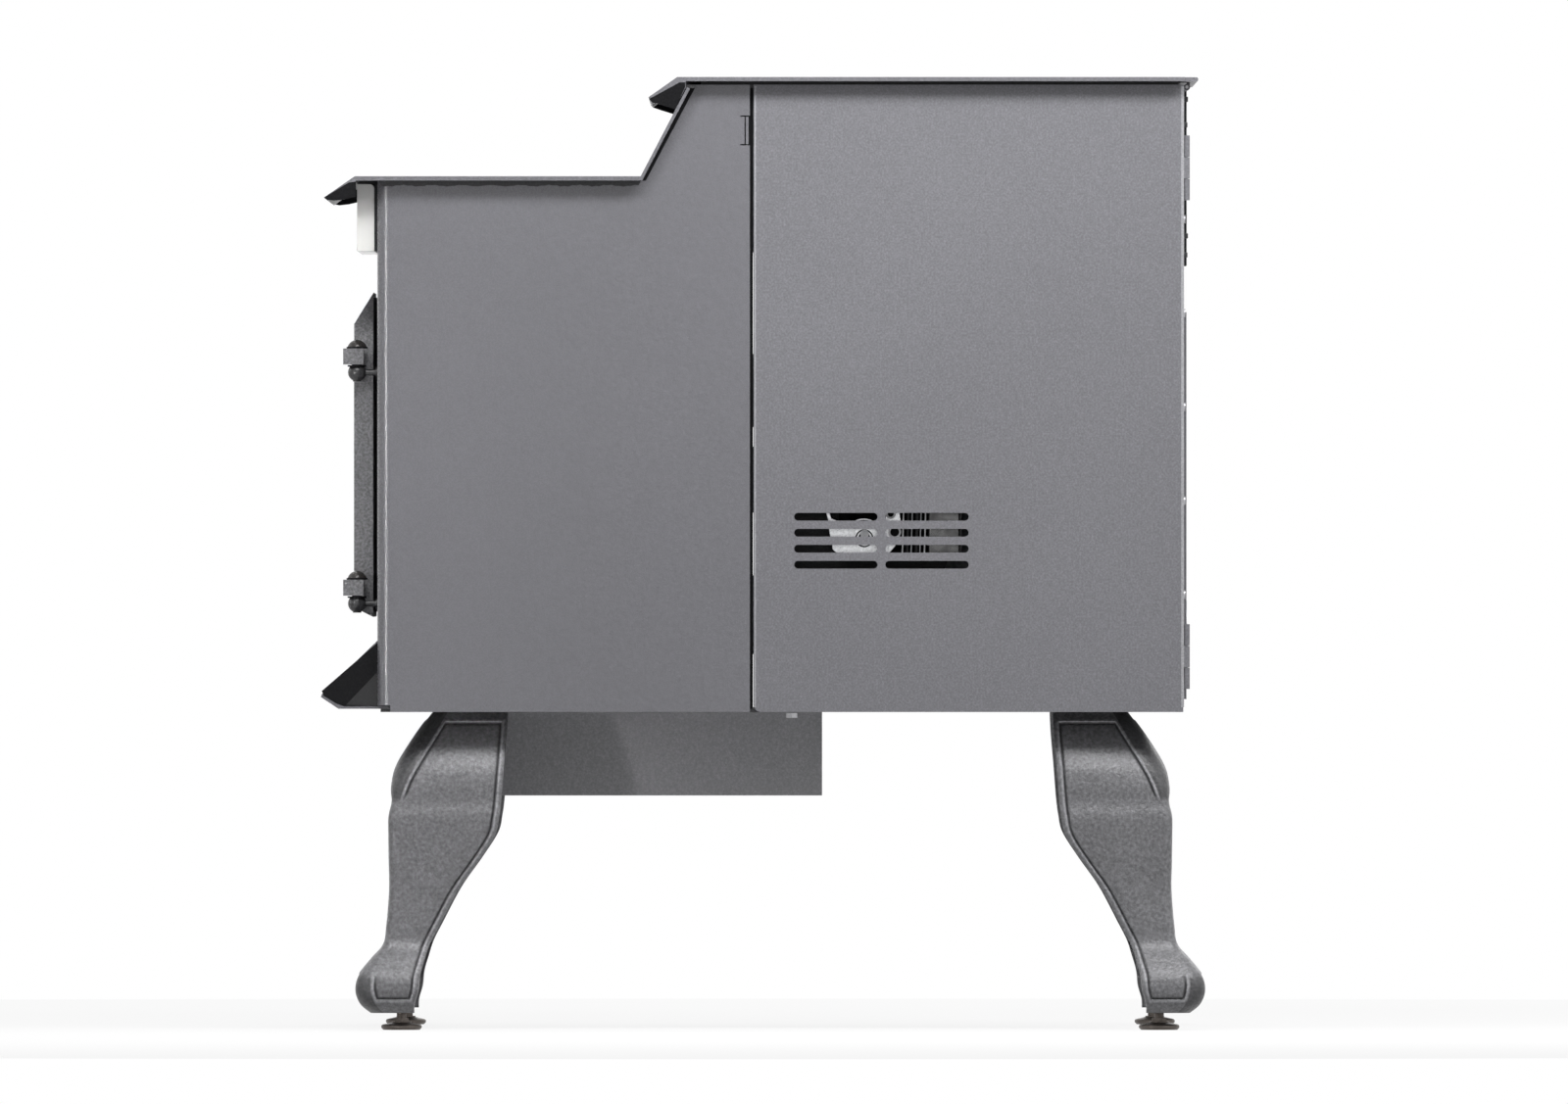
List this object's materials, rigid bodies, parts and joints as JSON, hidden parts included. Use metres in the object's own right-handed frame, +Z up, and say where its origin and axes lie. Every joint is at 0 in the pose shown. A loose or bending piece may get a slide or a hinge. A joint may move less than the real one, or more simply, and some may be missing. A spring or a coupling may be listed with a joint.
{
  "type": "pellet stove",
  "caption": "Free-standing pellet stove on cast cabriole legs, with a stepped top, hopper lid, hinged cast door, ash drawer and louvred side panels.",
  "frame": {"origin": "on the floor, under the middle of the overall width and depth", "axes": "+Z up, the door faces -Y, the side with the door hinges is +X"},
  "size_m": [0.641, 0.8284, 0.893],
  "materials": {
    "charcoal_paint": "satin textured",
    "cast_iron": "cast, painted",
    "inner_steel": "satin",
    "black_paint": "satin",
    "cream_plastic": "matte",
    "dark_plastic": "matte",
    "display_glass": "gloss",
    "door_glass": "clear",
    "rope_black": "knitted rope",
    "gasket_white": "felted",
    "zinc": "plated",
    "galvanised": "galvanised",
    "die_cast": "die cast",
    "firebrick": "fired",
    "circuit_board": "matte",
    "glide_brass": "worn"
  },
  "bodies": {
    "stove": {"front_shroud": "charcoal_paint", "front_top_plate": "charcoal_paint", "lid_gasket": "rope_black", "hopper_deck": "inner_steel", "lid_hinge_leaves": "charcoal_paint", "lid_hinge_pins": "zinc", "side_panel_hinges": "charcoal_paint", "panel_catches": "inner_steel", "back_panel": "charcoal_paint", "casing_screws": "zinc", "base_plate": "inner_steel", "frame_posts": "inner_steel", "ash_lip": "charcoal_paint", "ash_box_housing": "charcoal_paint", "hinge_studs": "cast_iron", "warm_air_grille": "black_paint", "control_housing": "cream_plastic", "display_window": "display_glass", "firebox": "inner_steel", "brick_panel": "firebrick", "pot_carrier": "cast_iron", "igniter": "zinc", "ash_chute": "inner_steel", "heat_exchanger": "inner_steel", "hopper": "galvanised", "auger_tube": "inner_steel", "auger_gearmotor": "die_cast", "exhaust_blower": "inner_steel", "flue_collar": "inner_steel", "fresh_air_pipe": "galvanised", "convection_blower": "inner_steel", "convection_motor": "die_cast", "control_board": "circuit_board", "power_inlet": "dark_plastic", "leg_front_right": "cast_iron", "leg_front_left": "cast_iron", "leg_rear_right": "cast_iron", "leg_rear_left": "cast_iron"},
    "door": {"door_frame": "cast_iron", "door_glass": "door_glass", "glass_gasket": "gasket_white", "door_rope_seal": "rope_black", "glass_clips": "zinc", "hinge_pins": "cast_iron"},
    "door_handle": {"door_handle": "black_paint"},
    "lid": {"hopper_lid": "charcoal_paint"},
    "right_side_panel": {"right_side_panel": "charcoal_paint"},
    "left_side_panel": {"left_side_panel": "charcoal_paint"},
    "ash_drawer": {"ash_drawer": "charcoal_paint"},
    "auger_screw": {"auger_screw": "galvanised"},
    "exhaust_impeller": {"exhaust_impeller": "die_cast"},
    "convection_wheel": {"convection_wheel": "die_cast"},
    "burn_pot": {"burn_pot": "cast_iron"},
    "button_1": {"button_1": "dark_plastic"},
    "button_2": {"button_2": "dark_plastic"},
    "button_3": {"button_3": "dark_plastic"},
    "leveller_front_right": {"leveller_front_right": "glide_brass"},
    "leveller_front_left": {"leveller_front_left": "glide_brass"},
    "leveller_rear_right": {"leveller_rear_right": "glide_brass"},
    "leveller_rear_left": {"leveller_rear_left": "glide_brass"}
  },
  "joints": [
    {"name": "door_swing", "type": "hinge", "parent": "stove", "child": "door", "pos_m": [0.222, -0.38085, 0], "axis": [0, 0, 1], "range_deg": [0, 110]},
    {"name": "door_handle_turn", "type": "hinge", "parent": "door", "child": "door_handle", "pos_m": [-0.188, -0.38385, 0.6315], "axis": [0, 1, 0], "range_deg": [0, 60]},
    {"name": "lid_swing", "type": "hinge", "parent": "stove", "child": "lid", "pos_m": [0, 0.39775, 0.8844], "axis": [-1, 0, 0], "range_deg": [0, 85]},
    {"name": "right_panel_swing", "type": "hinge", "parent": "stove", "child": "right_side_panel", "pos_m": [0.2965, 0.39685, 0], "axis": [0, 0, 1], "range_deg": [0, 100]},
    {"name": "left_panel_swing", "type": "hinge", "parent": "stove", "child": "left_side_panel", "pos_m": [-0.2965, 0.39685, 0], "axis": [0, 0, -1], "range_deg": [0, 100]},
    {"name": "ash_drawer_slide", "type": "slide", "parent": "stove", "child": "ash_drawer", "axis": [0, -1, 0], "range_m": [0, 0.3]},
    {"name": "auger_turn", "type": "hinge", "parent": "stove", "child": "auger_screw", "pos_m": [0, 0.17, 0.47], "axis": [0, -0.809, 0.5878], "continuous": true},
    {"name": "exhaust_turn", "type": "hinge", "parent": "stove", "child": "exhaust_impeller", "pos_m": [-0.197, 0.215, 0.4], "axis": [1, 0, 0], "continuous": true},
    {"name": "convection_turn", "type": "hinge", "parent": "stove", "child": "convection_wheel", "pos_m": [0.075, 0.09525, 0.465], "axis": [1, 0, 0], "continuous": true},
    {"name": "burn_pot_lift", "type": "slide", "parent": "stove", "child": "burn_pot", "axis": [0, 0, 1], "range_m": [0, 0.06]},
    {"name": "button_1_press", "type": "slide", "parent": "stove", "child": "button_1", "axis": [0, 1, 0], "range_m": [0, 0.0015], "stiffness_N_per_m": 400},
    {"name": "button_2_press", "type": "slide", "parent": "stove", "child": "button_2", "axis": [0, 1, 0], "range_m": [0, 0.0015], "stiffness_N_per_m": 400},
    {"name": "button_3_press", "type": "slide", "parent": "stove", "child": "button_3", "axis": [0, 1, 0], "range_m": [0, 0.0015], "stiffness_N_per_m": 400},
    {"name": "leveller_front_right_screw", "type": "slide", "parent": "stove", "child": "leveller_front_right", "axis": [0, 0, 1], "range_m": [-0.012, 0]},
    {"name": "leveller_front_left_screw", "type": "slide", "parent": "stove", "child": "leveller_front_left", "axis": [0, 0, 1], "range_m": [-0.012, 0]},
    {"name": "leveller_rear_right_screw", "type": "slide", "parent": "stove", "child": "leveller_rear_right", "axis": [0, 0, 1], "range_m": [-0.012, 0]},
    {"name": "leveller_rear_left_screw", "type": "slide", "parent": "stove", "child": "leveller_rear_left", "axis": [0, 0, 1], "range_m": [-0.012, 0]}
  ]
}
